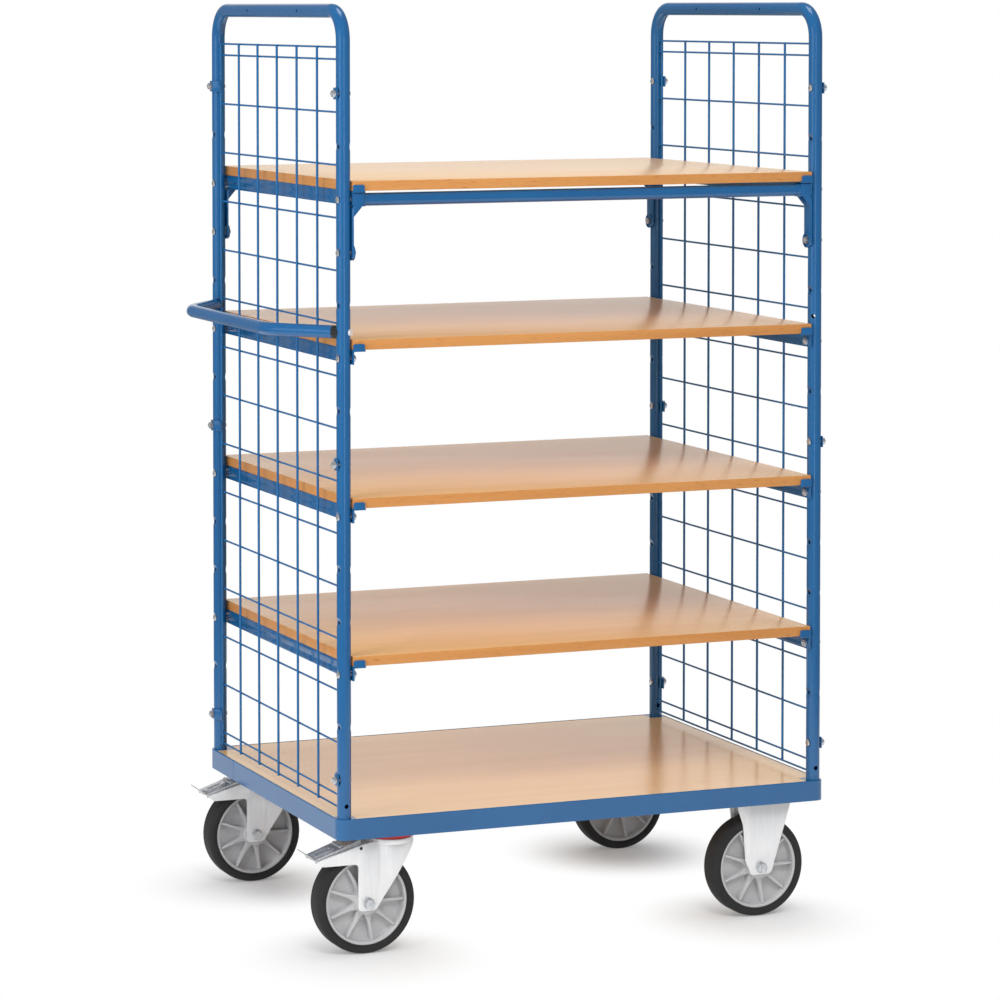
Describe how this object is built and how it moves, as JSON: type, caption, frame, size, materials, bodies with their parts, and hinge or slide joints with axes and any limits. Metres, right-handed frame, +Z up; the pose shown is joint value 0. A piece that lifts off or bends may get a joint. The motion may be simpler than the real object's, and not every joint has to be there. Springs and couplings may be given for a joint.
{
  "type": "mesh trolley",
  "caption": "Wheeled shelf trolley with wire-mesh end walls, board shelves on bolted rails, a bowed push handle, fixed castors and braked swivel castors.",
  "frame": {"origin": "on the floor, under the middle of the whole trolley", "axes": "+Z up; +X along the trolley, from the push handle to the fixed castors; +Y from the open front to the open back"},
  "size_m": [1.143, 0.736, 1.812],
  "materials": {
    "blue_paint": "semi-gloss powder coat",
    "beech_board": "smooth beech-patterned board",
    "zinc": "bright zinc plate",
    "axle_steel": "machined",
    "rim_grey": "matt moulded",
    "tyre_grey": "matt rubber",
    "seal_red": "smooth",
    "saddle_black": "matt moulded"
  },
  "bodies": {
    "trolley": {"base_frame": "blue_paint", "deck_board": "beech_board", "end_frame_left": "blue_paint", "end_frame_right": "blue_paint", "mesh_panel_left": "blue_paint", "mesh_panel_right": "blue_paint", "mesh_clips": "blue_paint", "clip_bolts": "zinc", "post_bolts": "zinc", "castor_bolts": "zinc", "hex_nuts": "zinc", "shelf_board_1": "beech_board", "shelf_rail_1_left": "blue_paint", "shelf_rail_1_right": "blue_paint", "shelf_board_2": "beech_board", "shelf_rail_2_left": "blue_paint", "shelf_rail_2_right": "blue_paint", "shelf_board_3": "beech_board", "shelf_rail_3_left": "blue_paint", "shelf_rail_3_right": "blue_paint", "shelf_board_4": "beech_board", "shelf_rail_4_left": "blue_paint", "shelf_rail_4_right": "blue_paint", "top_brace_front": "blue_paint", "top_brace_back": "blue_paint", "brace_brackets": "blue_paint", "push_handle": "blue_paint", "handle_saddles": "saddle_black", "handle_bolts": "zinc", "fixed_fork_front": "zinc", "fixed_fork_back": "zinc", "fixed_axle_bolts": "zinc", "fixed_axle_tubes": "axle_steel", "swivel_seals": "seal_red", "swivel_plate_front": "zinc", "swivel_plate_back": "zinc"},
    "swivel_front": {"swivel_fork_front": "zinc", "swivel_balls_front": "axle_steel", "swivel_axle_bolt_front": "zinc", "swivel_axle_tube_front": "axle_steel", "pedal_pin_front": "zinc"},
    "pedal_front": {"brake_pedal_front": "zinc"},
    "swivel_wheel_front": {"rim_swivel_front": "rim_grey", "tyre_swivel_front": "tyre_grey", "wheel_bearing_swivel_front": "axle_steel"},
    "fixed_wheel_front": {"rim_fixed_front": "rim_grey", "tyre_fixed_front": "tyre_grey", "wheel_bearing_fixed_front": "axle_steel"},
    "swivel_back": {"swivel_fork_back": "zinc", "swivel_balls_back": "axle_steel", "swivel_axle_bolt_back": "zinc", "swivel_axle_tube_back": "axle_steel", "pedal_pin_back": "zinc"},
    "pedal_back": {"brake_pedal_back": "zinc"},
    "swivel_wheel_back": {"rim_swivel_back": "rim_grey", "tyre_swivel_back": "tyre_grey", "wheel_bearing_swivel_back": "axle_steel"},
    "fixed_wheel_back": {"rim_fixed_back": "rim_grey", "tyre_fixed_back": "tyre_grey", "wheel_bearing_fixed_back": "axle_steel"}
  },
  "joints": [
    {"name": "swivel_turn_front", "type": "hinge", "parent": "trolley", "child": "swivel_front", "pos_m": [-0.34603, -0.31, 0.2], "axis": [0, 0, 1], "continuous": true},
    {"name": "swivel_wheel_spin_front", "type": "hinge", "parent": "swivel_front", "child": "swivel_wheel_front", "pos_m": [-0.40003, -0.31, 0.1], "axis": [0, 1, 0], "continuous": true},
    {"name": "brake_press_front", "type": "hinge", "parent": "swivel_front", "child": "pedal_front", "pos_m": [-0.41602, -0.31, 0.207], "axis": [0, -1, 0], "range_deg": [0, 12]},
    {"name": "fixed_wheel_spin_front", "type": "hinge", "parent": "trolley", "child": "fixed_wheel_front", "pos_m": [0.43598, -0.31, 0.1], "axis": [0, 1, 0], "continuous": true},
    {"name": "swivel_turn_back", "type": "hinge", "parent": "trolley", "child": "swivel_back", "pos_m": [-0.34603, 0.31, 0.2], "axis": [0, 0, 1], "continuous": true},
    {"name": "swivel_wheel_spin_back", "type": "hinge", "parent": "swivel_back", "child": "swivel_wheel_back", "pos_m": [-0.40003, 0.31, 0.1], "axis": [0, 1, 0], "continuous": true},
    {"name": "brake_press_back", "type": "hinge", "parent": "swivel_back", "child": "pedal_back", "pos_m": [-0.41602, 0.31, 0.207], "axis": [0, -1, 0], "range_deg": [0, 12]},
    {"name": "fixed_wheel_spin_back", "type": "hinge", "parent": "trolley", "child": "fixed_wheel_back", "pos_m": [0.43598, 0.31, 0.1], "axis": [0, 1, 0], "continuous": true}
  ]
}
